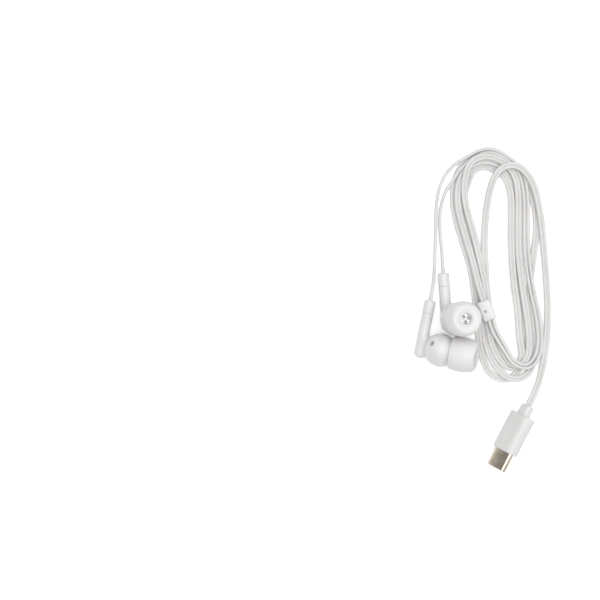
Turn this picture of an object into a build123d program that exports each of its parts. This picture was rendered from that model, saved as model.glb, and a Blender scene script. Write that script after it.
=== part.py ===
from build123d import *
import math
import os

# Wired in-ear earphones lying on a table, in millimetres. +Z is up and the table is z = 0.
# The origin is under the middle of the two earbuds' box, at its base.
# Each earbud is drawn once in its own axes: ball centre at the origin, +Z out of the housing
# towards the ear, +Y along the stem towards its cap. The right one is the mirror image.

# ---- driving dimensions: earbud ----
BALL_R = 6.1
WALL = 0.8
PARTING_Z = 0.9
STEM_R = 2.1
STEM_OFFSET = 8.0
STEM_END_Y = -4.4
STEM_SEAM_Y = 12.2
STEM_BORE_R = 1.2
CAP_R = 2.1
CAP_LENGTH = 5.0
CAP_RECESS_R = 0.95
CAP_RECESS_DEPTH = 0.6
NOZZLE_CANT = 12.0
NOZZLE_NECK_R = 2.1
NOZZLE_LIP_R = 2.4
NOZZLE_BORE_R = 1.7
NOZZLE_END = 12.6
COLLAR_R = 5.0
GRILLE_R = 1.95
GRILLE_THICKNESS = 0.2
GRILLE_HOLE_R = 0.55
GRILLE_HOLES_OUT = 1.2
GRILLE_TURN = 15.0
VENT_POINT = Vector(5.56, 1.83, -1.72)
VENT_R = 1.0

# ---- driving dimensions: silicone tip, measured along the nozzle from the ball's centre ----
TIP_R = 6.5
TIP_BACK = 4.3
TIP_FRONT = 13.7
TIP_SKIN = 0.5
TIP_CORE_BACK = 6.7
TIP_CORE_FRONT = 12.8
TIP_CORE_R = 3.1
TIP_BORE_R = NOZZLE_LIP_R + 0.05
TIP_MOUTH_R = 2.1

# ---- driving dimensions: driver inside the ball ----
DRIVER_R = 4.8
DRIVER_BACK = -1.0
DRIVER_FRONT = 1.3
YOKE_R = 3.3
MAGNET_R = 2.2
COIL_GAP = 0.15

# ---- driving dimensions: cable ----
TWIN_WIDTH = 2.5
WIRE_D = 1.25
HANK_HEIGHT = 3.0
SPLIT_SIZE = (4.8, 7.6, 3.0)
SPLIT_PLACE = (15.38, 4.28, HANK_HEIGHT)
SPLIT_TURN = 22.0

# ---- driving dimensions: USB-C plug, +Z out of the shell's mouth, +X across its width ----
SHELL_SIZE = (8.25, 2.4)
SHELL_WALL = 0.28
SHELL_EXPOSED = 6.9
SHELL_HELD = 4.0
GRIP_SIZE = (10.5, 6.0)
GRIP_LENGTH = 14.9
BOOT_WIDTH = 4.5
BOOT_LENGTH = 3.9
TONGUE_SLOT = (6.7, 0.76)
CONTACTS_PER_ROW = 12
CONTACT_PITCH = 0.5
PLUG_PLACE = (21.19, -47.48, 4.65)
PLUG_HEADING = 27.4
PLUG_ROLL = 46.0

# ---- where the two earbuds lie ----
LEFT_BALL = (3.16, 1.23, 9.7)
LEFT_STEM_LEAN = 4.1
LEFT_TILT = 67.0
RIGHT_BALL = (-2.45, -10.2, 6.1)
RIGHT_STEM_LEAN = -11.3
RIGHT_TILT = 28.1

os.makedirs("parts", exist_ok=True)


def save(piece, node):
    """Label a finished piece and write it."""
    piece.label = node
    export_step(piece, f"parts/{node}.step")


def earbud_plane(ball, lean, tilt):
    """Earbud axes: the stem lies level, turned by lean from +Y; the housing looks up by tilt."""
    turn, rise = math.radians(lean), math.radians(tilt)
    stem = Vector(-math.sin(turn), math.cos(turn), 0)
    level = Vector(math.cos(turn), math.sin(turn), 0)
    ear = level * math.cos(rise) + Vector(0, 0, math.sin(rise))
    return Plane(origin=ball, x_dir=stem.cross(ear), z_dir=ear)


def tube(points, diameter, name):
    """A cord's tube: straight runs joined by arcs as large as their runs allow."""
    route = [Vector(*point) for point in points]
    runs = [after - before for before, after in zip(route, route[1:])]
    radii = []
    for before, after in zip(runs, runs[1:]):
        turn = math.radians(before.get_angle(after))
        radii.append(0.45 * min(before.length, after.length) / math.tan(turn / 2))
    with BuildPart() as cord:
        with BuildLine() as path:
            FilletPolyline(*route, radius=radii)
        with BuildSketch(Plane(origin=route[0], z_dir=runs[0])):
            Circle(diameter / 2)
        sweep(path=path.wires()[0])
    length = path.wires()[0].length
    section = math.pi * diameter**2 / 4
    print(f"{name}: length {length:.1f} mm, radii", [round(radius, 1) for radius in radii])
    print(f"{name}: volume over section x length {cord.part.volume / (section * length):.4f}")
    return cord.part


# ---- earbud pieces in their own axes ----
cant = math.radians(NOZZLE_CANT)
nozzle_direction = Vector(-math.sin(cant), 0, math.cos(cant))
nozzle_axis = Axis((0, 0, 0), nozzle_direction)
nozzle_section = Plane(origin=(0, 0, 0), x_dir=(math.cos(cant), 0, math.sin(cant)), z_dir=(0, -1, 0))
stem_section = Plane(origin=(0, 0, -STEM_OFFSET), x_dir=(1, 0, 0), z_dir=(0, 1, 0))
vent_plane = Plane(origin=VENT_POINT, z_dir=VENT_POINT)
parting = Plane.XY.offset(PARTING_Z)
earbud = {}

with BuildPart() as front_shell:
    Sphere(BALL_R)
    with BuildSketch(nozzle_section):
        with BuildLine():
            Polyline(
                (0, 3.0),
                (COLLAR_R, 3.0),
                (COLLAR_R, 5.4),
                (COLLAR_R - 0.6, 6.0),
                (NOZZLE_NECK_R, 6.4),
                (NOZZLE_NECK_R, NOZZLE_END - 1.9),
                (NOZZLE_LIP_R, NOZZLE_END - 1.6),
                (NOZZLE_LIP_R, NOZZLE_END - 0.7),
                (NOZZLE_LIP_R - 0.2, NOZZLE_END),
                (0, NOZZLE_END),
                close=True,
            )
        make_face()
    revolve(axis=nozzle_axis)
    Sphere(BALL_R - WALL, mode=Mode.SUBTRACT)
    with BuildSketch(Plane(origin=(0, 0, 0), z_dir=nozzle_direction)):
        Circle(NOZZLE_BORE_R)
    extrude(amount=NOZZLE_END, mode=Mode.SUBTRACT)
    with BuildSketch(Plane(origin=nozzle_direction * NOZZLE_END, z_dir=nozzle_direction)):
        Circle(GRILLE_R)
    extrude(amount=-2 * GRILLE_THICKNESS, mode=Mode.SUBTRACT)
    split(bisect_by=parting, keep=Keep.TOP)
earbud["front_shell"] = front_shell.part

with BuildPart() as rear_shell:
    Sphere(BALL_R)
    split(bisect_by=parting, keep=Keep.BOTTOM)
    with BuildSketch(stem_section.offset(STEM_END_Y + STEM_R)):
        Circle(STEM_R)
    extrude(amount=STEM_SEAM_Y - STEM_END_Y - STEM_R)
    with Locations((0, STEM_END_Y + STEM_R, -STEM_OFFSET)):
        Sphere(STEM_R)
    with BuildSketch(Plane.XY.offset(-STEM_OFFSET)):
        Ellipse(1.9, 3.9)
    extrude(amount=4.0)
    Sphere(BALL_R - WALL, mode=Mode.SUBTRACT)
    with BuildSketch(stem_section.offset(STEM_END_Y + STEM_R)):
        Circle(STEM_BORE_R)
    extrude(amount=STEM_SEAM_Y - STEM_END_Y - STEM_R, mode=Mode.SUBTRACT)
    with BuildSketch(Plane.XY.offset(-STEM_OFFSET)):
        Circle(STEM_BORE_R)
    extrude(amount=4.0, mode=Mode.SUBTRACT)
    with BuildSketch(vent_plane):
        Circle(VENT_R)
    extrude(amount=2 * WALL, both=True, mode=Mode.SUBTRACT)
earbud["rear_shell"] = rear_shell.part

with BuildPart() as stem_cap:
    with BuildSketch(stem_section.offset(STEM_SEAM_Y)):
        Circle(CAP_R)
    extrude(amount=CAP_LENGTH)
    chamfer(stem_cap.edges().sort_by(Axis.Y)[-1], 0.3)
    with BuildSketch(stem_section.offset(STEM_SEAM_Y + CAP_LENGTH)):
        Circle(CAP_RECESS_R)
    extrude(amount=-CAP_RECESS_DEPTH, mode=Mode.SUBTRACT)
    with BuildSketch(stem_section.offset(STEM_SEAM_Y)):
        Circle(WIRE_D / 2)
    extrude(amount=CAP_LENGTH, mode=Mode.SUBTRACT)
earbud["stem_cap"] = stem_cap.part

grille_back = NOZZLE_END - 2 * GRILLE_THICKNESS
grille_x = (math.cos(cant), 0, math.sin(cant))
with BuildPart() as nozzle_grille:
    with BuildSketch(Plane(origin=nozzle_direction * grille_back, x_dir=grille_x, z_dir=nozzle_direction)):
        Circle(GRILLE_R - 0.02)
        with PolarLocations(GRILLE_HOLES_OUT, 3, start_angle=GRILLE_TURN):
            Circle(GRILLE_HOLE_R, mode=Mode.SUBTRACT)
    extrude(amount=GRILLE_THICKNESS)
earbud["nozzle_grille"] = nozzle_grille.part

with BuildPart() as nozzle_cloth:
    with BuildSketch(Plane(origin=nozzle_direction * (grille_back - 0.17), z_dir=nozzle_direction)):
        Circle(NOZZLE_BORE_R - 0.03)
    extrude(amount=0.15)
earbud["nozzle_cloth"] = nozzle_cloth.part

with BuildPart() as ear_tip:
    with BuildSketch(nozzle_section):
        with BuildLine():
            Spline(
                (TIP_R - 0.3, TIP_BACK),
                (TIP_R, TIP_BACK + 3.4),
                (TIP_R - 0.4, TIP_BACK + 6.4),
                (TIP_R - 1.1, TIP_FRONT - 0.9),
                (TIP_R - 2.4, TIP_FRONT),
                tangents=((0.15, 1), (-1, 0.1)),
            )
            Polyline(
                (TIP_R - 2.4, TIP_FRONT),
                (TIP_MOUTH_R, TIP_CORE_FRONT + 0.25),
                (TIP_MOUTH_R, TIP_CORE_FRONT),
                (TIP_BORE_R, TIP_CORE_FRONT),
                (TIP_BORE_R, TIP_CORE_BACK),
                (TIP_CORE_R, TIP_CORE_BACK),
                (TIP_CORE_R, TIP_CORE_FRONT - 0.2),
                (TIP_R - 2.1, TIP_CORE_FRONT - 0.5),
                (TIP_R - 0.7 - TIP_SKIN, TIP_BACK + 6.4),
                (TIP_R - TIP_SKIN, TIP_BACK + 3.4),
                (TIP_R - 0.3 - TIP_SKIN, TIP_BACK),
                (TIP_R - 0.3, TIP_BACK),
            )
        make_face()
    revolve(axis=nozzle_axis)
earbud["ear_tip"] = ear_tip.part

with BuildPart() as vent_screen:
    screen_place = VENT_POINT * ((BALL_R - WALL - 0.15) / VENT_POINT.length)
    with BuildSketch(Plane(origin=screen_place, z_dir=VENT_POINT)):
        Circle(VENT_R + 0.3)
    extrude(amount=-0.15)
earbud["vent_screen"] = vent_screen.part

with BuildPart() as driver_frame:
    with BuildSketch(Plane.XY.offset(DRIVER_BACK)):
        Circle(DRIVER_R)
        Circle(YOKE_R, mode=Mode.SUBTRACT)
    extrude(amount=DRIVER_FRONT - DRIVER_BACK)
    with BuildSketch(Plane.XY.offset(0.2)):
        Circle(DRIVER_R - 0.4)
    extrude(amount=DRIVER_FRONT, mode=Mode.SUBTRACT)
earbud["driver_frame"] = driver_frame.part

with BuildPart() as driver_yoke:
    with BuildSketch(Plane.XY.offset(-2.3)):
        Circle(YOKE_R)
    extrude(amount=2.3)
    with BuildSketch(Plane.XY.offset(-1.8)):
        Circle(YOKE_R - 0.5)
    extrude(amount=1.8, mode=Mode.SUBTRACT)
earbud["driver_yoke"] = driver_yoke.part

with BuildPart() as driver_magnet:
    with BuildSketch(Plane.XY.offset(-1.8)):
        Circle(MAGNET_R)
    extrude(amount=1.3)
earbud["driver_magnet"] = driver_magnet.part

with BuildPart() as driver_pole_plate:
    with BuildSketch(Plane.XY.offset(-0.5)):
        Circle(MAGNET_R)
    extrude(amount=0.5)
earbud["driver_pole_plate"] = driver_pole_plate.part

with BuildPart() as voice_coil:
    with BuildSketch(Plane.XY.offset(-0.9)):
        Circle(MAGNET_R + 2 * COIL_GAP + 0.1)
        Circle(MAGNET_R + COIL_GAP, mode=Mode.SUBTRACT)
    extrude(amount=1.3)
earbud["voice_coil"] = voice_coil.part

with BuildPart() as diaphragm:
    with BuildSketch(Plane.XZ):
        with BuildLine():
            Polyline(
                (0, 1.0),
                (1.2, 0.9),
                (MAGNET_R + 0.1, 0.48),
                (DRIVER_R - 0.45, 0.48),
                (DRIVER_R - 0.45, 0.4),
                (MAGNET_R, 0.4),
                (1.15, 0.82),
                (0, 0.92),
                close=True,
            )
        make_face()
    revolve(axis=Axis.Z)
earbud["diaphragm"] = diaphragm.part

with BuildPart() as driver_grille:
    with BuildSketch(Plane.XY.offset(DRIVER_FRONT)):
        Circle(DRIVER_R)
        with PolarLocations(2.6, 8):
            Circle(0.5, mode=Mode.SUBTRACT)
        Circle(0.7, mode=Mode.SUBTRACT)
    extrude(amount=0.25)
earbud["driver_grille"] = driver_grille.part

with BuildPart() as signal_wires:
    for side in (-0.4, 0.4):
        wire_start = (side, STEM_SEAM_Y - 0.2, -STEM_OFFSET)
        with BuildLine() as wire_path:
            FilletPolyline(wire_start, (side, 0.2, -STEM_OFFSET), (side, 0.2, -2.35), radius=0.7)
        with BuildSketch(Plane(origin=wire_start, z_dir=(0, -1, 0))):
            Circle(0.25)
        sweep(path=wire_path.wires()[0])
earbud["signal_wires"] = signal_wires.part

left_plane = earbud_plane(LEFT_BALL, LEFT_STEM_LEAN, LEFT_TILT)
right_plane = earbud_plane(RIGHT_BALL, RIGHT_STEM_LEAN, RIGHT_TILT)
for name, piece in earbud.items():
    save(left_plane.location * piece, f"left_{name}")
    save(right_plane.location * mirror(piece, about=Plane.YZ), f"right_{name}")

# ---- cable: split, hank, and the three stretches that lie free of it ----
with BuildPart() as y_split:
    with BuildSketch(Plane(origin=SPLIT_PLACE).rotated((0, 0, SPLIT_TURN))):
        RectangleRounded(SPLIT_SIZE[0], SPLIT_SIZE[1], 1.6)
    extrude(amount=SPLIT_SIZE[2])
    fillet(y_split.faces().sort_by(Axis.Z)[-1].edges(), 0.9)
save(y_split.part, "y_split")

hank_outside = [
    (16.68, -19.72),
    (23.98, -21.72),
    (30.68, -18.72),
    (34.58, -11.62),
    (35.38, -1.12),
    (33.08, 10.88),
    (31.88, 23.88),
    (32.08, 35.88),
    (31.08, 45.88),
    (27.48, 54.68),
    (22.28, 61.18),
    (14.68, 64.28),
    (6.98, 61.18),
    (2.28, 54.08),
    (1.38, 43.38),
    (4.08, 32.28),
    (7.38, 22.28),
    (9.58, 11.18),
    (11.08, -0.12),
    (12.68, -11.12),
]
hank_inside = [
    (24.68, -13.12),
    (26.48, -10.12),
    (25.98, -4.12),
    (25.28, 4.88),
    (23.68, 14.88),
    (22.68, 25.88),
    (22.98, 37.88),
    (22.98, 46.88),
    (20.48, 52.88),
    (16.58, 54.88),
    (12.88, 55.08),
    (9.88, 53.88),
    (8.18, 48.88),
    (7.98, 43.38),
    (10.88, 32.28),
    (13.58, 22.88),
    (15.78, 11.88),
    (17.88, 2.28),
    (20.28, -5.12),
    (22.38, -9.92),
]
with BuildPart() as cable_hank:
    for outline, mode in ((hank_outside, Mode.ADD), (hank_inside, Mode.SUBTRACT)):
        with BuildSketch():
            with BuildLine():
                Spline(*outline, periodic=True)
            make_face()
        extrude(amount=HANK_HEIGHT, mode=mode)
save(cable_hank.part, "cable_hank")

plug_lead_route = [
    (29.89, -30.7, 4.65),
    (31.87, -26.88, 4.65),
    (34.48, -20.56, 3.2),
    (36.38, -12.56, 1.6),
    (37.38, -2.96, 1.3),
    (37.48, 7.44, 1.35),
    (36.78, 17.84, 1.3),
    (35.98, 27.44, 1.4),
    (35.08, 37.04, 1.9),
    (33.58, 45.94, 3.1),
    (30.98, 53.14, 4.4),
    (26.48, 57.74, 4.5),
    (21.38, 57.84, 4.5),
    (17.68, 54.44, 4.3),
    (15.48, 47.44, 2.9),
    (14.38, 38.54, 1.6),
    (14, 29.64, 1.35),
    (14.3, 22.84, 1.5),
]
right_wire_route = [
    (-6.12, 7.46, 2.33),
    (-5.22, 11.98, 2.1),
    (-4.5, 17.64, 1.1),
    (-4.2, 24.24, 0.7),
    (-4, 31.84, 0.66),
    (-3.9, 40.44, 0.7),
    (-3.2, 47.44, 0.66),
    (-1.2, 53.44, 0.7),
    (2.3, 57.84, 0.66),
    (6.1, 59.84, 0.7),
]
left_wire_route = [
    (-1.14, 17.56, 2.34),
    (-1.44, 21.38, 2.1),
    (-1.7, 27.04, 1.1),
    (-2.3, 32.64, 0.7),
    (-2.4, 39.24, 0.66),
    (-1.5, 44.84, 0.7),
    (0, 48.94, 0.66),
    (2.1, 51.84, 0.7),
]
save(tube(plug_lead_route, TWIN_WIDTH, "plug_lead"), "plug_lead")
save(tube(right_wire_route, WIRE_D, "right_ear_wire"), "right_ear_wire")
save(tube(left_wire_route, WIRE_D, "left_ear_wire"), "left_ear_wire")

# ---- USB-C plug in its own axes ----
plug = {}
with BuildPart() as plug_shell:
    with BuildSketch(Plane.XY.offset(-SHELL_HELD)):
        SlotOverall(*SHELL_SIZE)
        offset(amount=-SHELL_WALL, mode=Mode.SUBTRACT)
    extrude(amount=SHELL_HELD + SHELL_EXPOSED)
plug["plug_shell"] = plug_shell.part

with BuildPart() as plug_insulator:
    with BuildSketch(Plane.XY.offset(-SHELL_HELD)):
        SlotOverall(*SHELL_SIZE)
        offset(amount=-SHELL_WALL - 0.02, mode=Mode.INTERSECT)
    extrude(amount=SHELL_HELD + SHELL_EXPOSED - 0.2)
    with BuildSketch(Plane.XY.offset(0.6)):
        Rectangle(*TONGUE_SLOT)
    extrude(amount=SHELL_EXPOSED, mode=Mode.SUBTRACT)
    with BuildSketch(Plane.XY.offset(-SHELL_HELD)):
        Rectangle(TONGUE_SLOT[0], 1.45)
    extrude(amount=SHELL_HELD - 1.0, mode=Mode.SUBTRACT)
    for row in (-1, 1):
        with BuildSketch(Plane.XY.offset(0.6)):
            with Locations((0, row * 0.49)):
                with GridLocations(CONTACT_PITCH, 1, CONTACTS_PER_ROW, 1):
                    Rectangle(0.3, 0.22)
        extrude(amount=SHELL_EXPOSED, mode=Mode.SUBTRACT)
    for side in (-1, 1):
        with BuildSketch(Plane.XY.offset(1.0)):
            with Locations((side * 3.45, 0)):
                Rectangle(0.35, 0.76)
        extrude(amount=SHELL_EXPOSED, mode=Mode.SUBTRACT)
plug["plug_insulator"] = plug_insulator.part

with BuildPart() as plug_contacts:
    for row in (-1, 1):
        with BuildSketch(Plane.XY.offset(0.62)):
            with Locations((0, row * 0.5)):
                with GridLocations(CONTACT_PITCH, 1, CONTACTS_PER_ROW, 1):
                    Rectangle(0.24, 0.16)
        extrude(amount=5.4)
plug["plug_contacts"] = plug_contacts.part

with BuildPart() as plug_latches:
    for side in (-1, 1):
        with BuildSketch(Plane.XY.offset(1.02)):
            with Locations((side * 3.48, 0)):
                Rectangle(0.2, 0.6)
        extrude(amount=4.6)
plug["plug_latches"] = plug_latches.part

with BuildPart() as plug_board:
    with Locations((0, 0, -7.9)):
        Box(7.4, 0.8, 7.6)
plug["plug_board"] = plug_board.part

with BuildPart() as plug_audio_chip:
    with Locations((0.6, 0.8, -8.2)):
        Box(3.0, 0.8, 3.0)
plug["plug_audio_chip"] = plug_audio_chip.part

with BuildPart() as plug_capacitors:
    with Locations((-2.2, 0.65, -6.6), (-2.2, 0.65, -8.2), (-2.2, 0.65, -9.8), (2.9, 0.65, -10.4)):
        Box(1.0, 0.5, 0.5)
plug["plug_capacitors"] = plug_capacitors.part

with BuildPart() as plug_grip:
    with BuildSketch(Plane.XY.offset(-GRIP_LENGTH)):
        SlotOverall(*GRIP_SIZE)
    extrude(amount=GRIP_LENGTH)
    fillet(plug_grip.faces().sort_by(Axis.Z)[0].edges(), 0.45)
    fillet(plug_grip.faces().sort_by(Axis.Z)[-1].edges(), 0.4)
    with BuildSketch(Plane.XY):
        SlotOverall(*SHELL_SIZE)
    extrude(amount=-SHELL_HELD, mode=Mode.SUBTRACT)
    with Locations((0, 0, -7.9)):
        Box(7.6, 3.0, 7.8, mode=Mode.SUBTRACT)
plug["plug_grip"] = plug_grip.part

with BuildPart() as plug_boot:
    with BuildSketch(Plane.XY.offset(-GRIP_LENGTH)):
        RectangleRounded(BOOT_WIDTH, BOOT_WIDTH - 0.7, 1.4)
    with BuildSketch(Plane.XY.offset(-GRIP_LENGTH - BOOT_LENGTH)):
        RectangleRounded(BOOT_WIDTH - 0.1, BOOT_WIDTH - 0.8, 1.3)
    loft()
plug["plug_boot"] = plug_boot.part

heading, roll = math.radians(PLUG_HEADING), math.radians(PLUG_ROLL)
mouth = Vector(-math.sin(heading), -math.cos(heading), 0)
side_level = Vector(-math.cos(heading), math.sin(heading), 0)
across = side_level * math.cos(roll) - Vector(0, 0, math.sin(roll))
plug_plane = Plane(origin=PLUG_PLACE, x_dir=across, z_dir=mouth)
for name, piece in plug.items():
    save(plug_plane.location * piece, name)
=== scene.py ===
import math

import bmesh
import bpy
import numpy as np
from mathutils import Matrix, Vector


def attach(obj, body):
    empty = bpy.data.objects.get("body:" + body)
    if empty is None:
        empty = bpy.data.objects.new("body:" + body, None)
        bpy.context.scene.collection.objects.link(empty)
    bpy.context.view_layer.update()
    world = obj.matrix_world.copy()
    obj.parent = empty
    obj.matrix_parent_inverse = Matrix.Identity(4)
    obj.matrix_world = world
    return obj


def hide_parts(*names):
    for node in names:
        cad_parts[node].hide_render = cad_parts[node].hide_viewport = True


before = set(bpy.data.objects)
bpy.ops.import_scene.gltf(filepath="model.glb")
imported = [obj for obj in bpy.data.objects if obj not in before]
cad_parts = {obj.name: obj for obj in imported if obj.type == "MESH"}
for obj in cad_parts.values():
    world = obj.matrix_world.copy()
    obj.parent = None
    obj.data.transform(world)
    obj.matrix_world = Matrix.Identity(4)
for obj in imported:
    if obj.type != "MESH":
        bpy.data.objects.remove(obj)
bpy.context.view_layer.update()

# Wired earphones with a USB-C plug, lying on a table with their cable in a loose hank. Pieces are
# made in millimetres, and MM takes them to the scene's metres.
MM = 0.001

# ---------------------------------------------------------------- camera, floor and light
VIEW_CENTRE = Vector((-54.12, 8.18, 0)) * MM
VIEW_WIDTH = 222.2 * MM
VIEW_DISTANCE = 700 * MM
SENSOR_WIDTH = 36
FLOOR_REACH = 3
FLOOR_DROP = 0.02 * MM


def make_camera():
    """Looks straight down on the middle of the whole layout, which is left of the earphones."""
    data = bpy.data.cameras.new("camera")
    data.sensor_width = SENSOR_WIDTH
    data.lens = SENSOR_WIDTH * VIEW_DISTANCE / VIEW_WIDTH
    data.clip_start = 0.01
    camera = bpy.data.objects.new("camera", data)
    camera.location = VIEW_CENTRE + Vector((0, 0, VIEW_DISTANCE))
    bpy.context.collection.objects.link(camera)
    bpy.context.scene.camera = camera


def make_floor():
    """A plain white table, a hair below the earphones and lit a little from within."""
    bm = bmesh.new()
    bmesh.ops.create_grid(bm, x_segments=1, y_segments=1, size=FLOOR_REACH)
    mesh = bpy.data.meshes.new("floor")
    bm.to_mesh(mesh)
    bm.free()
    floor = bpy.data.objects.new("floor", mesh)
    floor.location.z = -FLOOR_DROP
    bpy.context.collection.objects.link(floor)
    material = bpy.data.materials.new("floor_white")
    material.use_nodes = True
    shader = material.node_tree.nodes["Principled BSDF"]
    shader.inputs["Base Color"].default_value = (0.95, 0.95, 0.95, 1)
    shader.inputs["Roughness"].default_value = 0.9
    shader.inputs["Specular IOR Level"].default_value = 0.1
    shader.inputs["Emission Color"].default_value = (1, 1, 1, 1)
    shader.inputs["Emission Strength"].default_value = 0.20
    mesh.materials.append(material)


def make_sky():
    """A studio that is bright overhead and falls off to a dim horizon."""
    world = bpy.data.worlds.new("studio")
    bpy.context.scene.world = world
    world.use_nodes = True
    nodes, links = world.node_tree.nodes, world.node_tree.links
    place = nodes.new("ShaderNodeTexCoord")
    split = nodes.new("ShaderNodeSeparateXYZ")
    ramp = nodes.new("ShaderNodeValToRGB")
    ramp.color_ramp.elements[0].color = (0.16, 0.158, 0.152, 1)
    ramp.color_ramp.elements[1].color = (1.15, 1.15, 1.15, 1)
    middle = ramp.color_ramp.elements.new(0.45)
    middle.color = (0.34, 0.337, 0.33, 1)
    links.new(place.outputs["Generated"], split.inputs[0])
    links.new(split.outputs["Z"], ramp.inputs[0])
    links.new(ramp.outputs["Color"], nodes["Background"].inputs["Color"])
    bpy.context.scene.view_settings.view_transform = "Standard"


def make_lights():
    """A large softbox overhead and a weaker one low on the right."""
    for name, place, size, power in (
        ("overhead_softbox", (0.07, 0.12, 1.05), 0.8, 6.9),
        ("side_softbox", (0.75, -0.25, 0.55), 0.45, 0.8),
    ):
        data = bpy.data.lights.new(name, "AREA")
        data.size = size
        data.energy = power
        light = bpy.data.objects.new(name, data)
        light.location = place
        light.rotation_euler = (-Vector(place)).to_track_quat("-Z", "Y").to_euler()
        bpy.context.collection.objects.link(light)


# ---------------------------------------------------------------- materials
def pattern_node(nodes, links, pattern, scale, detail):
    """A noise, cell or stripe texture in the object's own coordinates, and its output from 0 to 1."""
    place = nodes.new("ShaderNodeTexCoord")
    if pattern == "noise":
        texture = nodes.new("ShaderNodeTexNoise")
        texture.inputs["Detail"].default_value = detail
        output = texture.outputs["Fac"]
    elif pattern == "cells":
        texture = nodes.new("ShaderNodeTexVoronoi")
        output = texture.outputs["Distance"]
    else:
        texture = nodes.new("ShaderNodeTexWave")
        texture.inputs["Distortion"].default_value = detail
        output = texture.outputs["Fac"]
    texture.inputs["Scale"].default_value = scale
    links.new(place.outputs["Object"], texture.inputs["Vector"])
    return output


def look(name, colours, roughness, metallic=0.0, pattern="noise", scale=400, detail=3.0, bump=0.02,
         grain=4000, subsurface=0.0, coat=0.0, sheen=0.0, edge=1.0):
    """A material whose colour and roughness vary over a pattern, with a finer bumpy grain.

    Scales are repeats per metre; bump is the grain's height in millimetres; edge is how bright a
    metal stays where it turns away, and below 1 it is painted shade: the metal's turned-away sides
    darkened to stand in for dark surroundings reflected there."""
    material = bpy.data.materials.new(name)
    material.use_nodes = True
    nodes, links = material.node_tree.nodes, material.node_tree.links
    shader = nodes["Principled BSDF"]
    shader.inputs["Metallic"].default_value = metallic
    shader.inputs["Subsurface Weight"].default_value = subsurface
    shader.inputs["Subsurface Scale"].default_value = 1.0 * MM
    shader.inputs["Coat Weight"].default_value = coat
    shader.inputs["Sheen Weight"].default_value = sheen
    # edge below 1 paints shade on a metal's turned-away sides, in place of a dark reflection
    shader.inputs["Specular Tint"].default_value = (edge, edge, edge, 1)

    varied = pattern_node(nodes, links, pattern, scale, detail)
    ramp = nodes.new("ShaderNodeValToRGB")
    ramp.color_ramp.elements[0].position = 0.3
    ramp.color_ramp.elements[0].color = (*colours[0], 1)
    ramp.color_ramp.elements[1].position = 0.7
    ramp.color_ramp.elements[1].color = (*colours[1], 1)
    links.new(varied, ramp.inputs[0])
    links.new(ramp.outputs["Color"], shader.inputs["Base Color"])

    spread = nodes.new("ShaderNodeMapRange")
    spread.inputs["To Min"].default_value = roughness[0]
    spread.inputs["To Max"].default_value = roughness[1]
    links.new(varied, spread.inputs["Value"])
    links.new(spread.outputs["Result"], shader.inputs["Roughness"])

    fine = pattern_node(nodes, links, "noise", grain, 2.0)
    relief = nodes.new("ShaderNodeBump")
    relief.inputs["Distance"].default_value = bump * MM
    relief.inputs["Strength"].default_value = 0.6
    links.new(fine, relief.inputs["Height"])
    links.new(relief.outputs["Normal"], shader.inputs["Normal"])
    return material


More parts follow.
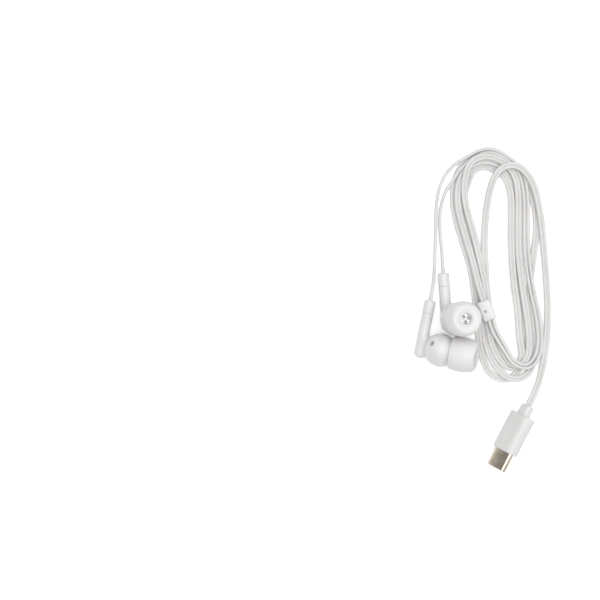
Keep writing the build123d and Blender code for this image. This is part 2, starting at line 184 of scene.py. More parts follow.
def make_looks():
    """Every material of the object, by a plain name."""
    return {
        "housing_white": look(
            "glossy_white_plastic", ((0.655, 0.655, 0.655), (0.685, 0.685, 0.685)), (0.38, 0.48),
            scale=160, bump=0.003, grain=2500, subsurface=0.08, coat=0.04,
        ),
        "silicone_white": look(
            "white_silicone", ((0.665, 0.665, 0.668), (0.695, 0.695, 0.695)), (0.42, 0.55),
            scale=220, bump=0.006, grain=3500, subsurface=0.25,
        ),
        "cable_white": look(
            "white_cable_jacket", ((0.585, 0.581, 0.574), (0.640, 0.637, 0.630)), (0.42, 0.56),
            scale=120, detail=4.0, bump=0.008, grain=3000, subsurface=0.05,
        ),
        "split_white": look(
            "white_split_moulding", ((0.690, 0.688, 0.683), (0.735, 0.733, 0.729)), (0.40, 0.52),
            scale=180, bump=0.005, grain=3000, subsurface=0.05,
        ),
        "grip_white": look(
            "satin_white_plastic", ((0.620, 0.617, 0.611), (0.650, 0.647, 0.642)), (0.42, 0.54),
            scale=140, bump=0.004, grain=3000, subsurface=0.05,
        ),
        "mesh_steel": look(
            "punched_steel", ((0.26, 0.26, 0.27), (0.60, 0.60, 0.60)), (0.34, 0.52), metallic=1.0,
            pattern="cells", scale=2400, bump=0.03, grain=4200,
        ),
        "vent_cloth": look(
            "grey_acoustic_cloth", ((0.060, 0.060, 0.061), (0.60, 0.60, 0.60)), (0.7, 0.95),
            pattern="cells", scale=5200, bump=0.03, grain=9000, sheen=0.2,
        ),
        "inner_plastic": look(
            "black_inner_plastic", ((0.018, 0.018, 0.019), (0.040, 0.040, 0.042)), (0.40, 0.60),
            scale=700, bump=0.010,
        ),
        "driver_steel": look(
            "zinc_plated_steel", ((0.52, 0.53, 0.55), (0.68, 0.69, 0.70)), (0.22, 0.42), metallic=1.0,
            scale=1200, bump=0.006,
        ),
        "driver_magnet": look(
            "nickel_plated_magnet", ((0.40, 0.39, 0.38), (0.55, 0.54, 0.53)), (0.20, 0.38),
            metallic=1.0, pattern="cells", scale=1800, bump=0.006,
        ),
        "copper_wire": look(
            "enamelled_copper", ((0.55, 0.20, 0.08), (0.80, 0.36, 0.16)), (0.22, 0.35), metallic=1.0,
            pattern="stripes", scale=2600, detail=1.0, bump=0.020,
        ),
        "membrane_film": look(
            "membrane_film", ((0.55, 0.55, 0.52), (0.72, 0.72, 0.69)), (0.15, 0.30),
            pattern="stripes", scale=900, detail=2.0, bump=0.010, coat=0.3,
        ),
        # warm nickel; its edge of 0.12 is painted shade: the shell's turned-away sides darkened to stand
        # in for dark surroundings reflected there
        "plug_nickel": look(
            "warm_nickel_painted_edge_shade", ((0.60, 0.53, 0.43), (0.68, 0.61, 0.51)), (0.20, 0.30), metallic=1.0,
            scale=500, detail=6.0, bump=0.002, grain=6000, edge=0.12,
        ),
        "plug_black": look(
            "black_contact_insulator", ((0.012, 0.012, 0.013), (0.035, 0.035, 0.036)), (0.45, 0.65),
            pattern="cells", scale=3000, bump=0.008,
        ),
        "contact_gold": look(
            "gold_contacts", ((0.80, 0.55, 0.20), (0.95, 0.72, 0.34)), (0.16, 0.28), metallic=1.0,
            scale=2500, bump=0.004,
        ),
        "board_green": look(
            "solder_mask", ((0.010, 0.110, 0.035), (0.030, 0.230, 0.075)), (0.25, 0.40),
            pattern="stripes", scale=450, detail=12.0, bump=0.015, coat=0.3,
        ),
        "capacitor_tan": look(
            "ceramic_capacitor", ((0.32, 0.20, 0.11), (0.48, 0.33, 0.20)), (0.40, 0.55),
            scale=1800, bump=0.010,
        ),
    }


# ---------------------------------------------------------------- mesh helpers
WELD_DISTANCE = 0.001
SMALLEST_CORNER = 0.05


def rounded(corners, steps=6):
    """A closed outline: each corner (x, y, reach) is curved from reach before it to reach after it."""
    outline = []
    for i, (x, y, reach) in enumerate(corners):
        here = Vector((x, y))
        before = Vector(corners[i - 1][:2]) - here
        after = Vector(corners[(i + 1) % len(corners)][:2]) - here
        start = here + before.normalized() * min(reach, before.length / 2)
        end = here + after.normalized() * min(reach, after.length / 2)
        for k in range(steps + 1):
            t = k / steps
            outline.append(start * (1 - t) ** 2 + here * (2 * t * (1 - t)) + end * t**2)
    return outline


def join_rings(bm, rings):
    """Quads between each ring of vertices and the next."""
    for ring, after in zip(rings, rings[1:]):
        for k in range(len(ring)):
            following = (k + 1) % len(ring)
            bm.faces.new((ring[k], ring[following], after[following], after[k]))


def revolved(profile, axes, steps=96):
    """A closed profile of (radius, along) points turned about the Z of the axes, in millimetres."""
    bm = bmesh.new()
    rings = []
    for radius, along in profile:
        ring = []
        for k in range(steps):
            turn = 2 * math.pi * k / steps
            place = Vector((radius * math.cos(turn), radius * math.sin(turn), along))
            ring.append(bm.verts.new(axes @ place))
        rings.append(ring)
    join_rings(bm, rings + rings[:1])
    bmesh.ops.remove_doubles(bm, verts=bm.verts, dist=WELD_DISTANCE)
    return bm


def slab_ring(width, height, radius, steps=10):
    """Points round a rounded rectangle."""
    points = []
    for quarter, (side, end) in enumerate(((1, 1), (-1, 1), (-1, -1), (1, -1))):
        for k in range(steps + 1):
            angle = math.pi / 2 * (quarter + k / steps)
            x = side * (width / 2 - radius) + radius * math.cos(angle)
            y = end * (height / 2 - radius) + radius * math.sin(angle)
            points.append((x, y))
    return points


def lofted(layers, hollow=False):
    """A solid through rounded rectangles (along, width, height, radius).

    A hollow one has its last layer joined to its first instead of two end faces."""
    bm = bmesh.new()
    rings = []
    for along, width, height, radius in layers:
        rings.append([bm.verts.new((x, y, along)) for x, y in slab_ring(width, height, radius)])
    if hollow:
        join_rings(bm, rings + rings[:1])
    else:
        join_rings(bm, rings)
        bm.faces.new(list(reversed(rings[0])))
        bm.faces.new(rings[-1])
    bmesh.ops.remove_doubles(bm, verts=bm.verts, dist=WELD_DISTANCE)
    return bm


def inset_layer(along, width, height, radius, inset):
    """A layer for lofted, with its outline drawn in by inset all round."""
    return along, width - 2 * inset, height - 2 * inset, max(radius - inset, SMALLEST_CORNER)


def soft_ended(start, end, width, height, radius, start_round, end_round, steps=6):
    """Layers of a slab from start to end along its axis with its two end edges rounded off."""
    layers = []
    for k in range(steps + 1):
        angle = math.pi / 2 * k / steps
        along = start + start_round * (1 - math.cos(angle))
        inset = start_round * (1 - math.sin(angle))
        layers.append(inset_layer(along, width, height, radius, inset))
    for k in range(steps + 1):
        angle = math.pi / 2 * k / steps
        along = end - end_round * (1 - math.sin(angle))
        inset = end_round * (1 - math.cos(angle))
        layers.append(inset_layer(along, width, height, radius, inset))
    return layers


def face_outwards(bm):
    """Turns the front of every face to the outside."""
    bm.normal_update()
    bmesh.ops.recalc_face_normals(bm, faces=bm.faces)


def open_edges(bm):
    return [edge for edge in bm.edges if edge.is_boundary]


def cut_open(bm, place, normal):
    """Cuts away what lies beyond a plane and leaves the cut open."""
    everything = bm.verts[:] + bm.edges[:] + bm.faces[:]
    bmesh.ops.bisect_plane(bm, geom=everything, plane_co=place, plane_no=normal, clear_outer=True)


def doubled_rim(bm):
    """Adds a second row of vertices to the open edges, still in the same place, and gives them."""
    rim = bmesh.ops.extrude_edge_only(bm, edges=open_edges(bm))
    return [part for part in rim["geom"] if isinstance(part, bmesh.types.BMVert)]


def as_object(bm, name):
    """Puts a mesh in the scene as an object."""
    mesh = bpy.data.meshes.new(name)
    bm.to_mesh(mesh)
    bm.free()
    holder = bpy.data.objects.new(name, mesh)
    bpy.context.collection.objects.link(holder)
    return holder


def with_modifiers(holder, *helpers):
    """The object's mesh with its modifiers applied; the object and its helpers are removed."""
    bpy.context.view_layer.update()
    evaluated = holder.evaluated_get(bpy.context.evaluated_depsgraph_get())
    mesh = bpy.data.meshes.new_from_object(evaluated)
    bm = bmesh.new()
    bm.from_mesh(mesh)
    bpy.data.meshes.remove(mesh)
    for used in (holder, *helpers):
        bpy.data.objects.remove(used)
    return bm


def carved(bm, cutter):
    """The first mesh with the second one cut out of it."""
    face_outwards(bm)
    face_outwards(cutter)
    body, tool = as_object(bm, "body"), as_object(cutter, "cutter")
    cut = body.modifiers.new("cut", "BOOLEAN")
    cut.operation = "DIFFERENCE"
    cut.solver = "EXACT"
    cut.object = tool
    return with_modifiers(body, tool)


def finish_piece(bm, axes, name, material, body, nodes, crease=38):
    """Places a mesh made in its own millimetre axes, names it, gives it its material and body, and hides
    the CAD nodes it stands for.
    """
    bm.transform(axes)
    face_outwards(bm)
    bm.transform(Matrix.Scale(MM, 4))
    piece = as_object(bm, name)
    piece.data.shade_smooth()
    piece.data.set_sharp_from_angle(angle=math.radians(crease))
    piece.data.materials.append(material)
    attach(piece, body)
    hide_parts(*nodes)
    return piece


# ---------------------------------------------------------------- cable
# one wire's radius, the twin cable's width, its gap to the floor and the height of a layer of strands
WIRE_R = 0.625
FLOOR_GAP = 0.03
LAYER = 1.28

# Stations round the hank, from its bottom up the right side, over the top and down the left:
# the middle lines of the innermost and the outermost place a strand can take, in millimetres.
INNER = [
    (24.68, -12.92), (26.58, -10.32), (25.98, -4.42), (25.48, 4.48), (23.98, 13.78),
    (22.68, 25.98), (23.08, 37.88), (23.38, 46.78), (21.38, 53.58), (17.48, 56.38),
    (12.88, 56.88), (9.68, 55.38), (8.08, 48.98), (7.68, 43.38), (10.98, 32.28),
    (13.58, 22.98), (15.78, 11.88), (17.88, 2.28), (20.28, -5.12), (22.48, -9.92),
]
OUTER = [
    (23.98, -22.12), (31.38, -18.82), (36.18, -11.82), (36.38, -1.02), (33.38, 10.78),
    (33.58, 23.78), (35.08, 35.58), (33.58, 45.98), (28.98, 55.58), (22.98, 62.38),
    (14.68, 65.38), (6.68, 61.78), (2.08, 54.18), (1.18, 43.38), (3.98, 32.28),
    (7.28, 22.28), (9.38, 11.18), (10.98, -1.02), (12.48, -11.02), (16.58, -19.22),
]
# Each turn starts on the left beside the Y-split, goes up, over the top, down the right side and
# round the bottom. At each station it has how far out it lies, from 0 inside to 1 outside or just
# past it, and its layer, which is part of a layer where it climbs over other strands.
STATIONS = [16, 15, 14, 13, 12, 11, 10, 9, 8, 7, 6, 5, 4, 3, 2, 1, 0, 19, 18, 17]
TURNS = [
    [
        (0.55, 2), (0.60, 1), (0.60, 1), (0.60, 1), (0.62, 1), (0.40, 1), (0.35, 1),
        (0.345, 1), (0.42, 0), (0.22, 0), (0.19, 0), (0.22, 0), (0.27, 0), (0.24, 0),
        (0.27, 0), (0.48, 0), (0.97, 0), (1.10, 0), (0.99, 0), (0.93, 0),
    ],
    [
        (0.83, 0), (0.82, 0), (0.85, 0), (0.84, 0), (0.85, 0), (0.78, 0), (0.74, 0),
        (0.72, 0), (0.72, 0), (0.88, 0), (0.88, 0), (0.88, 0), (0.70, 0), (0.56, 0),
        (0.64, 0), (1.04, 0.2), (0.97, 1), (0.74, 1), (0.71, 0.3), (0.61, 0),
    ],
    [
        (0.40, 0), (0.42, 0), (0.37, 0), (0.30, 0), (0.12, 0), (0.06, 0), (0.10, 0),
        (0.04, 0), (0.10, 1), (0.07, 1), (0.07, 1), (0.12, 1), (0.10, 1), (0.09, 1),
        (0.08, 1), (0.40, 1), (0.50, 1), (0.49, 1), (0.48, 1), (0.38, 1),
    ],
    [
        (0.14, 1), (0.19, 1), (0.12, 1), (0.12, 1), (0.30, 2), (0.55, 2), (0.57, 2),
        (0.55, 2), (0.54, 1), (0.32, 1), (0.28, 1), (0.35, 1), (0.43, 1), (0.39, 1),
        (0.48, 1), (0.57, 1.9), (0.38, 2), (0.21, 1.6), (0.17, 0), (0.20, 0),
    ],
]
# where the last turn ends: its station, how far out it lies and its layer
LAST_TURN_END = (16, 0.13, 0)
# the free lead, from the plug up beside the hank, over its top and down inside its opening
PLUG_LEAD = [
    (29.89, -30.7, 4.65), (31.87, -26.88, 4.65), (34.48, -20.56, 3.2), (36.38, -12.56, 1.6),
    (37.38, -2.96, 1.3), (37.48, 7.44, 1.35), (36.78, 17.84, 1.3), (35.98, 27.44, 1.4),
    (35.08, 37.04, 1.9), (33.58, 45.94, 3.1), (30.98, 53.14, 4.4), (26.48, 57.74, 4.5),
    (21.38, 57.84, 4.5), (17.68, 54.44, 4.3), (15.48, 47.44, 2.9), (14.38, 38.54, 1.6),
    (14, 29.64, 1.35), (14.3, 22.84, 1.5),
]
# the ear wires' free stretches, each from its earbud up to the top of the hank
RIGHT_WIRE = [
    (-6.12, 7.46, 2.33), (-5.22, 11.98, 2.1), (-4.5, 17.64, 1.1), (-4.2, 24.24, 0.7),
    (-4, 31.84, 0.66), (-3.9, 40.44, 0.7), (-3.2, 47.44, 0.66), (-1.2, 53.44, 0.7),
    (2.3, 57.84, 1.0), (6.1, 60.3, 1.9),
]
LEFT_WIRE = [
    (-1.14, 17.56, 2.34), (-1.44, 21.38, 2.1), (-1.7, 27.04, 1.1), (-2.3, 32.64, 0.7),
    (-2.4, 39.24, 0.66), (-1.5, 44.84, 0.7), (0, 48.94, 0.9), (2.1, 51.84, 1.7),
    (5.2, 57.3, 1.95),
]
# the two ear wires' own turn of the hank, from the top round to the Y-split
WIRE_STATIONS = [10, 9, 8, 7, 6, 5, 4, 3, 2, 1, 0, 19]
RIGHT_WIRE_TURN = [
    (0.94, 0.8), (0.93, 1), (0.94, 1), (0.67, 1), (0.60, 0), (0.70, 1), (0.88, 1), (0.88, 1),
    (0.93, 1), (0.86, 2.9), (0.33, 3), (0.16, 2.8),
]
LEFT_WIRE_TURN = [
    (0.79, 1.2), (0.77, 1), (0.77, 1), (0.53, 1), (0.47, 0), (0.56, 1), (0.73, 1), (0.73, 1),
    (0.78, 1), (0.71, 2.9), (0.16, 3), (0.02, 2.8),
]
# the Y-split's width, length and height, where it lies, where the twin cable leaves it at the top,
# and where the ear wires come in at the bottom, each shifted to its own side of the middle
SPLIT_SIZE = (4.8, 7.6, 3.0)
SPLIT_CORNER = 1.0
SPLIT_END_ROUND = 0.8
SPLIT_CENTRE = Vector((14.6, 4.35, 4.5))
SPLIT_TURN, SPLIT_ROLL = math.radians(22), math.radians(-14)
SPLIT_TOP = Vector((13.6, 7.9, 4.2))
SPLIT_BOTTOM = Vector((16.3, 1.0, 4.2))
SPLIT_WIRE_SHIFT = 0.8
SPLIT_WIRE_APPROACH = Vector((0.4, -3.0, -0.3))
# the moulding dimple on its top, across and along from the middle
DIMPLE_PLACE = (-0.45, 0.2)
DIMPLE_R = 0.45
DIMPLE_DEPTH = 1.4


def hank_point(station, out, layer):
    """A strand's middle at a station, from how far out it lies and its layer."""
    inside, outside = Vector(INNER[station]), Vector(OUTER[station])
    place = inside.lerp(outside, out)
    return Vector((place.x, place.y, WIRE_R + FLOOR_GAP + LAYER * layer))


def main_route():
    """The twin cable from the Y-split round its turns of the hank and along the lead to the plug."""
    points = [SPLIT_TOP]
    for turn in TURNS:
        for station, (out, layer) in zip(STATIONS, turn):
            points.append(hank_point(station, out, layer))
    points.append(hank_point(*LAST_TURN_END))
    points += [Vector(point) for point in reversed(PLUG_LEAD)]
    return points


def wire_route(free, turn, end):
    """An ear wire from its earbud along its free stretch, once round the hank and into the Y-split."""
    points = [Vector(point) for point in free]
    for station, (out, layer) in zip(WIRE_STATIONS, turn):
        points.append(hank_point(station, out, layer))
    points.append(end + SPLIT_WIRE_APPROACH)
    points.append(end)
    return points


def spline_points(route, name):
    """The points along the smooth NURBS line that has the route as its control points, in metres."""
    data = bpy.data.curves.new(name, "CURVE")
    data.dimensions = "3D"
    data.resolution_u = 8
    spline = data.splines.new("NURBS")
    spline.points.add(len(route) - 1)
    for point, place in zip(spline.points, route):
        point.co = (*(place * MM), 1)
    spline.order_u = 3
    spline.use_endpoint_u = True
    holder = bpy.data.objects.new(name, data)
    mesh = bpy.data.meshes.new_from_object(holder)
    points = [vertex.co.copy() for vertex in mesh.vertices]
    bpy.data.meshes.remove(mesh)
    bpy.data.objects.remove(holder)
    bpy.data.curves.remove(data)
    return points


def swept(points, section):
    """A tube of the given section, whose first axis stays level, swept along points in metres."""
    bm = bmesh.new()
    rings = []
    for i, point in enumerate(points):
        ahead = points[min(i + 1, len(points) - 1)] - points[max(i - 1, 0)]
        ahead.normalize()
        level = ahead.cross(Vector((0, 0, 1))).normalized()
        upward = level.cross(ahead)
        rings.append([bm.verts.new(point / MM + level * x + upward * y) for x, y in section])
    join_rings(bm, rings)
    bm.faces.new(list(reversed(rings[0])))
    bm.faces.new(rings[-1])
    return bm


def twin_section():
    """Two wires side by side with the groove between them, as points round the outline."""
    outline = []
    for side in (1, -1):
        for degrees in range(-160, 161, 20):
            angle = math.radians(degrees)
            x = WIRE_R + WIRE_R * math.cos(angle)
            y = WIRE_R * math.sin(angle)
            outline.append((side * x, side * y))
    return outline


def round_section(radius, count=20):
    turns = [2 * math.pi * k / count for k in range(count)]
    return [(radius * math.cos(turn), radius * math.sin(turn)) for turn in turns]


def make_cords(looks):
    """The twin cable from the Y-split to the plug, and an ear wire from each earbud to the split."""
    points = spline_points(main_route(), "twin_cable_line")
    twin = finish_piece(
        swept(points, twin_section()), Matrix.Identity(4), "twin_cable", looks["cable_white"],
        "earphones", ("cable_hank", "plug_lead"), crease=60,
    )
    for side, free, turn, shift in (
        ("right", RIGHT_WIRE, RIGHT_WIRE_TURN, SPLIT_WIRE_SHIFT),
        ("left", LEFT_WIRE, LEFT_WIRE_TURN, -SPLIT_WIRE_SHIFT),
    ):
        across = Vector((math.cos(SPLIT_TURN), math.sin(SPLIT_TURN), 0))
        end = SPLIT_BOTTOM - across * shift
        points = spline_points(wire_route(free, turn, end), f"{side}_wire_line")
        wire = finish_piece(
            swept(points, round_section(WIRE_R)), Matrix.Identity(4), f"{side}_wire",
            looks["cable_white"], "earphones", (f"{side}_ear_wire",), crease=60,
        )


def make_split(looks):
    """The moulded Y-split: a soft-edged slab lying across the strands, with a small moulding dimple."""
    axes = Matrix.Translation(SPLIT_CENTRE) @ Matrix.Rotation(SPLIT_TURN, 4, "Z")
    axes = axes @ Matrix.Rotation(SPLIT_ROLL, 4, "Y") @ Matrix.Rotation(math.pi / 2, 4, "X")
    width, length, height = SPLIT_SIZE
    bm = lofted(soft_ended(
        -length / 2, length / 2, width, height, SPLIT_CORNER, SPLIT_END_ROUND, SPLIT_END_ROUND
    ))
    above = 0.8
    flare = rounded((
        (0, above, 0), (DIMPLE_R + 0.27, above, 0), (DIMPLE_R + 0.05, 0, 0.12),
        (DIMPLE_R, -DIMPLE_DEPTH, 0.1), (0, -DIMPLE_DEPTH, 0),
    ))
    across, along = DIMPLE_PLACE
    top = Matrix.Translation((across, height / 2, along)) @ Matrix.Rotation(-math.pi / 2, 4, "X")
    finish_piece(
        carved(bm, revolved(flare, top, 32)), axes, "split_moulding", looks["split_white"],
        "earphones", ("y_split",), crease=42,
    )


# ---------------------------------------------------------------- earbuds
# Each earbud is made in its own axes: ball centre at the origin, +Z out towards the ear, +Y along
# the stem towards its cap, the nozzle canted towards -X. The right one is the mirror image.
BALL_R = 6.1
WALL = 0.8
PARTING_Z = 0.9
PARTING_CHAMFER = 0.987
STEM_R = 2.1
STEM_OFFSET = 8.0
STEM_END_Y = -4.4
STEM_SEAM_Y = 12.2
STEM_CHAMFER = 0.96
STEM_SPARE = 1.5
STEM_UNSETTLED = 0.5
STEM_BLEND = 1.0
NECK_R = 1.75
NECK_OFFSET = 6.6
NECK_REACH = 2.0
NECK_HALF_LENGTH = 3.7
NECK_BLEND = 1.3
REMESH_VOXELS = (0.34, 0.26)
CAP_R = 2.1
CAP_LENGTH = 5.0
CAP_BORE_R = 0.66
CAP_RECESS_R = 0.95
NOZZLE_R = 2.1
NOZZLE_LIP_R = 2.4
NOZZLE_BORE_R = 1.7
NOZZLE_CANT = math.radians(12)
NOZZLE_END = 12.6
COLLAR_R = 5.0
GRILLE_R = 1.93
GRILLE_BACK = NOZZLE_END - 0.4
GRILLE_THICKNESS = 0.2
GRILLE_OPENINGS = 3
GRILLE_EDGE = 0.06
OPENING_R = 0.6
OPENING_OFFSET = 1.2
OPENING_TURN = 15
VENT_POINT = Vector((5.56, 1.83, -1.72))
VENT_R = 1.0
VENT_DEPTH = 1.6
TIP_R = 6.5
TIP_BORE_R = 2.45
TIP_BACK = 4.3
TIP_FRONT = 13.7
TIP_CORE_FRONT = 12.8
TIP_CORE_BACK = 6.7
SEAM_GAP = 0.08
# where each ball's centre is, how far its stem is turned and how far its ear side is raised
LEFT_BALL = (3.16, 1.23, 9.7)
LEFT_LEAN, LEFT_TILT = math.radians(4.1), math.radians(67)
RIGHT_BALL = (-2.45, -10.2, 6.1)
RIGHT_LEAN, RIGHT_TILT = math.radians(-11.3), math.radians(28.1)

NOZZLE_AXES = Matrix.Rotation(-NOZZLE_CANT, 4, "Y")
STEM_AXES = Matrix.Translation((0, 0, -STEM_OFFSET)) @ Matrix.Rotation(-math.pi / 2, 4, "X")


def earbud_axes(ball, lean, tilt, side):
    """Where an earbud lies: the stem level and turned by lean from +Y, the ear side raised by tilt."""
    stem = Vector((-math.sin(lean), math.cos(lean), 0))
    level = Vector((math.cos(lean), math.sin(lean), 0))
    ear = level * math.cos(tilt) + Vector((0, 0, math.sin(tilt)))
    axes = Matrix((stem.cross(ear) * side, stem, ear)).transposed().to_4x4()
    axes.translation = ball
    return axes


def smooth_union(first, second, blend):
    """The distance outside two shapes joined, with the crease between them filled over blend."""
    share = np.clip(0.5 + 0.5 * (second - first) / blend, 0, 1)
    return second + (first - second) * share - blend * share * (1 - share)


def rod_field(points, start, end, offset, radius):
    """How far points are outside a round-ended rod along Y, which lies offset behind the ball."""
    along = np.clip(points[:, 1], start, end)
    nearest = np.stack([0 * along, along, 0 * along - offset], axis=1)
    return np.linalg.norm(points - nearest, axis=1) - radius


def housing_field(points):
    """How far points are outside the ball, the stem and the neck between them, smoothly blended."""
    ball = np.linalg.norm(points, axis=1) - BALL_R
    stem = rod_field(points, STEM_END_Y + STEM_R, STEM_SEAM_Y + CAP_LENGTH, STEM_OFFSET, STEM_R)
    neck = rod_field(points, -NECK_REACH, NECK_REACH, NECK_OFFSET, NECK_R)
    return smooth_union(smooth_union(ball, stem, STEM_BLEND), neck, NECK_BLEND)


def settle_on_field(points):
    """Moves points onto the housing's surface by Newton steps, damped where the field is flat."""
    step = 1e-3
    least_steepness = 0.3
    for _ in range(10):
        value = housing_field(points)
        slope = np.stack(
            [(housing_field(points + step * axis) - value) / step for axis in np.eye(3)], axis=1
        )
        steepness = np.maximum(np.sum(slope**2, axis=1), least_steepness)
        points = points - slope * (value / steepness)[:, None]
    return points


def blended_housing():
    """The ball, the stem and the neck as one mesh, remeshed and settled on their blended surface.

    The stem goes on past its seam, where it is cut off later, and its very end isn't settled."""
    bm = bmesh.new()
    bmesh.ops.create_uvsphere(bm, u_segments=64, v_segments=32, radius=BALL_R)
    stem_start, stem_end = STEM_END_Y + STEM_R, STEM_SEAM_Y + STEM_SPARE
    middle = Matrix.Translation((0, (stem_start + stem_end) / 2, -STEM_OFFSET))
    bmesh.ops.create_cone(
        bm, cap_ends=True, segments=48, radius1=STEM_R, radius2=STEM_R, depth=stem_end - stem_start,
        matrix=middle @ Matrix.Rotation(math.pi / 2, 4, "X"),
    )
    bmesh.ops.create_uvsphere(
        bm, u_segments=48, v_segments=24, radius=STEM_R,
        matrix=Matrix.Translation((0, stem_start, -STEM_OFFSET)),
    )
    neck = Matrix.Diagonal((NECK_R, NECK_HALF_LENGTH, NECK_R, 1))
    bmesh.ops.create_uvsphere(
        bm, u_segments=32, v_segments=16, radius=1,
        matrix=Matrix.Translation((0, 0, -NECK_OFFSET)) @ neck,
    )
    for voxel in REMESH_VOXELS:
        holder = as_object(bm, "housing")
        remesh = holder.modifiers.new("remesh", "REMESH")
        remesh.mode = "VOXEL"
        remesh.voxel_size = voxel
        bm = with_modifiers(holder)
        points = np.array([vert.co for vert in bm.verts])
        kept = points[:, 1] < STEM_SEAM_Y + STEM_SPARE - STEM_UNSETTLED
        points[kept] = settle_on_field(points[kept])
        for vert, place in zip(bm.verts, points):
            vert.co = place
    return bm


def rear_shell():
    """The back of the ball and the stem moulded to it, with chamfered rims, a wall and the vent."""
    bm = blended_housing()
    cut_open(bm, (0, 0, PARTING_Z - SEAM_GAP), (0, 0, 1))
    cut_open(bm, (0, STEM_SEAM_Y - SEAM_GAP, 0), (0, 1, 0))
    for vert in doubled_rim(bm):
        x, y, z = vert.co
        if y > STEM_SEAM_Y - 1:
            from_axis = (z + STEM_OFFSET) * STEM_CHAMFER
            vert.co = (x * STEM_CHAMFER, STEM_SEAM_Y, from_axis - STEM_OFFSET)
        else:
            vert.co = (x * PARTING_CHAMFER, y * PARTING_CHAMFER, PARTING_Z)
    face_outwards(bm)
    holder = as_object(bm, "housing")
    wall = holder.modifiers.new("wall", "SOLIDIFY")
    wall.thickness = WALL
    wall.offset = -1
    bm = with_modifiers(holder)
    across = VENT_POINT.to_track_quat("Z", "Y").to_matrix().to_4x4()
    across.translation = VENT_POINT
    above = 0.6
    flare = rounded((
        (0, above, 0), (VENT_R + 0.45, above, 0), (VENT_R, -0.05, 0.25), (VENT_R, -VENT_DEPTH, 0),
        (0, -VENT_DEPTH, 0),
    ))
    return carved(bm, revolved(flare, across, 40))


def ball_arc(radius, start, end, steps):
    """Sharp profile corners on a circle about the ball's centre, in degrees from its axis."""
    corners = []
    for k in range(steps + 1):
        angle = math.radians(start + (end - start) * k / steps)
        corners.append((radius * math.sin(angle), radius * math.cos(angle), 0))
    return corners


def front_shell():
    """The front of the ball with the nozzle, its lip, bore and grille seat, chamfered at the parting."""
    seat_r = GRILLE_R + 0.02
    nozzle = [
        (COLLAR_R, 3.6, 0.15), (COLLAR_R, 5.5, 0.5), (COLLAR_R - 0.8, 6.2, 0.4), (NOZZLE_R, 6.4, 0.3),
        (NOZZLE_R, NOZZLE_END - 1.9, 0.2), (NOZZLE_LIP_R, NOZZLE_END - 1.6, 0.12),
        (NOZZLE_LIP_R, NOZZLE_END - 0.7, 0.3), (NOZZLE_LIP_R - 0.18, NOZZLE_END, 0.1),
        (seat_r, NOZZLE_END, 0.04), (seat_r, GRILLE_BACK, 0), (NOZZLE_BORE_R, GRILLE_BACK, 0),
    ]
    outer = ball_arc(BALL_R, 112, 58, 32)
    inner = ball_arc(BALL_R - WALL, 20, 112, 24)
    bm = revolved(rounded(outer + nozzle + inner, 4), NOZZLE_AXES)
    cut_open(bm, (0, 0, PARTING_Z + SEAM_GAP), (0, 0, -1))
    for vert in doubled_rim(bm):
        inwards = PARTING_CHAMFER if vert.co.xy.length > BALL_R - WALL / 2 else 1.0
        vert.co = (vert.co.x * inwards, vert.co.y * inwards, PARTING_Z)
    bmesh.ops.bridge_loops(bm, edges=open_edges(bm))
    return bm


def stem_cap():
    """The collar on the end of the stem: a thin seam, a chamfered end and the wire's recess."""
    start, end = STEM_SEAM_Y + 0.02, STEM_SEAM_Y + CAP_LENGTH
    return revolved(rounded((
        (CAP_BORE_R, start, 0), (CAP_R - 0.15, start, 0.05), (CAP_R, start + 0.2, 0.12),
        (CAP_R, end - 0.35, 0.15), (CAP_R - 0.35, end, 0.15), (CAP_RECESS_R + 0.15, end, 0.1),
        (CAP_RECESS_R, end - 0.15, 0.08), (CAP_RECESS_R, end - 0.6, 0.05), (CAP_BORE_R, end - 0.6, 0),
    )), STEM_AXES, 64)


def ear_tip():
    """The silicone tip: a domed skirt rolled in at its back, round a thicker core on the nozzle."""
    skirt = (
        (TIP_R - 0.33, TIP_BACK, 0.22), (TIP_R + 0.08, TIP_BACK + 3.6, 2.8),
        (TIP_R - 0.4, TIP_BACK + 7.2, 1.6), (TIP_R - 1.1, TIP_FRONT - 0.35, 1.2),
    )
    mouth = (
        (3.9, TIP_FRONT + 0.1, 1.2), (NOZZLE_R, TIP_CORE_FRONT + 0.25, 0.15),
        (NOZZLE_R, TIP_CORE_FRONT, 0.05),
    )
    core = (
        (TIP_BORE_R, TIP_CORE_FRONT, 0.05), (TIP_BORE_R, TIP_CORE_BACK, 0.2),
        (TIP_BORE_R + 0.65, TIP_CORE_BACK, 0.25), (TIP_BORE_R + 0.7, TIP_CORE_FRONT - 0.6, 0.6),
    )
    skirt_inside = (
        (4.3, TIP_CORE_FRONT - 0.5, 0.6), (TIP_R - 1.2, TIP_CORE_FRONT - 2, 0.8),
        (TIP_R - 0.5, TIP_BACK + 3.6, 1.8), (TIP_R - 0.8, TIP_BACK, 0.2),
    )
    return revolved(rounded(skirt + mouth + core + skirt_inside, 8), NOZZLE_AXES, 112)


def nozzle_grille():
    """A thin steel disc with three round openings, its edges softened."""
    bm = bmesh.new()
    circles = [(0, 0, GRILLE_R, 72)]
    for k in range(GRILLE_OPENINGS):
        turn = math.radians(OPENING_TURN + 360 / GRILLE_OPENINGS * k)
        x, y = OPENING_OFFSET * math.cos(turn), OPENING_OFFSET * math.sin(turn)
        circles.append((x, y, OPENING_R, 36))
    for x, y, radius, count in circles:
        outline = round_section(radius, count)
        ring = [bm.verts.new((x + across, y + along, GRILLE_BACK)) for across, along in outline]
        for k in range(count):
            bm.edges.new((ring[k - 1], ring[k]))
    bmesh.ops.triangle_fill(bm, use_beauty=True, edges=bm.edges[:])
    holder = as_object(bm, "grille")
    plate = holder.modifiers.new("plate", "SOLIDIFY")
    plate.thickness = GRILLE_THICKNESS
    plate.offset = 1
    edge = holder.modifiers.new("edge", "BEVEL")
    edge.width = GRILLE_EDGE
    edge.segments = 3
    edge.limit_method = "ANGLE"
    bm = with_modifiers(holder)
    bm.transform(NOZZLE_AXES)
    return bm


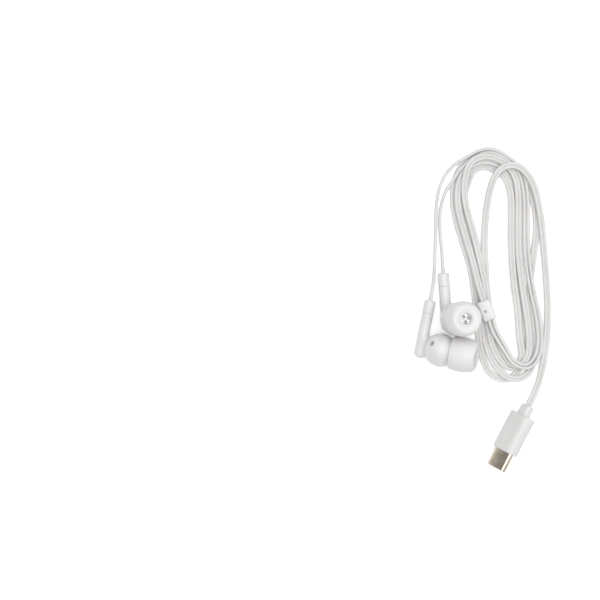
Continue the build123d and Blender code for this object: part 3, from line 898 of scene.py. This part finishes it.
def make_earbuds(looks):
    """Both earbuds: the same pieces, the right one's mirrored, each laid where it belongs."""
    places = {
        "left": earbud_axes(LEFT_BALL, LEFT_LEAN, LEFT_TILT, 1),
        "right": earbud_axes(RIGHT_BALL, RIGHT_LEAN, RIGHT_TILT, -1),
    }
    for side, axes in places.items():
        for make, slot, body in (
            (rear_shell, "housing_white", "earphones"),
            (front_shell, "housing_white", "earphones"),
            (stem_cap, "housing_white", "earphones"),
            (nozzle_grille, "mesh_steel", "earphones"),
            (ear_tip, "silicone_white", f"{side}_tip"),
        ):
            node = f"{side}_{make.__name__}"
            finish_piece(make(), axes, f"{node}_look", looks[slot], body, (node,))


# ---------------------------------------------------------------- USB-C plug
# Made in its own axes: +Z out of the shell's mouth from the grip's shoulder, +X across its width.
SHELL_SIZE = (8.25, 2.4)
SHELL_WALL = 0.28
SHELL_EXPOSED = 6.9
SHELL_HELD = 4.0
SHELL_LIP = 0.14
GRIP_SIZE = (10.5, 6.0)
GRIP_LENGTH = 14.9
GRIP_BACK_ROUND, GRIP_FRONT_ROUND = 0.45, 0.4
BOOT_SIZE = (4.5, 3.8)
BOOT_CORNER = 1.3
BOOT_BACK_ROUND, BOOT_FRONT_ROUND = 0.3, 0.02
BOOT_LENGTH = 3.9
BOOT_OVERLAP = 0.3
BOOT_TAPER = 0.025
PLUG_PLACE = (21.19, -47.48, 4.65)
PLUG_HEADING, PLUG_ROLL = math.radians(27.4), math.radians(46)


def plug_axes():
    """Where the plug lies: level, its mouth pointing away from the hank, rolled part way on its edge."""
    mouth = Vector((-math.sin(PLUG_HEADING), -math.cos(PLUG_HEADING), 0))
    side_level = Vector((-math.cos(PLUG_HEADING), math.sin(PLUG_HEADING), 0))
    across = side_level * math.cos(PLUG_ROLL) - Vector((0, 0, math.sin(PLUG_ROLL)))
    axes = Matrix((across, mouth.cross(across), mouth)).transposed().to_4x4()
    axes.translation = PLUG_PLACE
    return axes


def plug_shell():
    """The drawn shell: a flattened tube with its mouth's edge rolled in."""
    width, height = SHELL_SIZE
    layers = [inset_layer(-SHELL_HELD, width, height, height / 2, 0)]
    for k in range(9):
        angle = math.pi * k / 8
        along = SHELL_EXPOSED - SHELL_LIP + SHELL_LIP * math.sin(angle)
        inset = SHELL_LIP * (1 - math.cos(angle))
        layers.append(inset_layer(along, width, height, height / 2, inset))
    layers.append(inset_layer(-SHELL_HELD, width, height, height / 2, SHELL_WALL))
    return lofted(layers, hollow=True)


def plug_grip():
    """The moulded grip, an oval bar with the edges of both ends rounded."""
    width, height = GRIP_SIZE
    return lofted(soft_ended(
        -GRIP_LENGTH, 0, width, height, height / 2, GRIP_BACK_ROUND, GRIP_FRONT_ROUND
    ))


def plug_boot():
    """The short strain relief between the grip and the cable, narrower and rounded at its free end."""
    width, height = BOOT_SIZE
    layers = soft_ended(
        -GRIP_LENGTH - BOOT_LENGTH, -GRIP_LENGTH + BOOT_OVERLAP, width, height, BOOT_CORNER,
        BOOT_BACK_ROUND, BOOT_FRONT_ROUND,
    )
    tapered = []
    for along, width, height, radius in layers:
        narrowing = BOOT_TAPER * (-GRIP_LENGTH - along)
        tapered.append((along, width - narrowing, height - narrowing, radius))
    return lofted(tapered)


def make_plug(looks):
    """The plug's visible pieces; what is inside the shell stays from the CAD model."""
    for make, slot, finish in (
        (plug_shell, "plug_nickel", "plug_nickel"),
        (plug_grip, "cable_white", "grip_white"),
        (plug_boot, "cable_white", "grip_white"),
    ):
        node = make.__name__
        finish_piece(make(), plug_axes(), f"{node}_look", looks[finish], "earphones", (node,))


# ---------------------------------------------------------------- pieces kept from the CAD model
# the material of each kind of piece, whichever earbud it is in
NODE_LOOKS = {
    "nozzle_cloth": "vent_cloth", "vent_screen": "vent_cloth", "driver_frame": "inner_plastic",
    "driver_yoke": "driver_steel", "driver_magnet": "driver_magnet",
    "driver_pole_plate": "driver_steel", "voice_coil": "copper_wire",
    "diaphragm": "membrane_film", "driver_grille": "driver_steel",
    "signal_wires": "copper_wire", "plug_insulator": "plug_black", "plug_contacts": "contact_gold",
    "plug_latches": "plug_nickel", "plug_board": "board_green", "plug_audio_chip": "inner_plastic",
    "plug_capacitors": "capacitor_tan",
}


def dress_nodes(looks):
    """Gives every CAD node that stays its own material."""
    for name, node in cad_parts.items():
        kind = name.removeprefix("left_").removeprefix("right_")
        if kind in NODE_LOOKS:
            for slot in node.material_slots:
                slot.material = looks[NODE_LOOKS[kind]]


make_camera()
make_floor()
make_sky()
make_lights()
looks = make_looks()
make_cords(looks)
make_split(looks)
make_earbuds(looks)
make_plug(looks)
dress_nodes(looks)
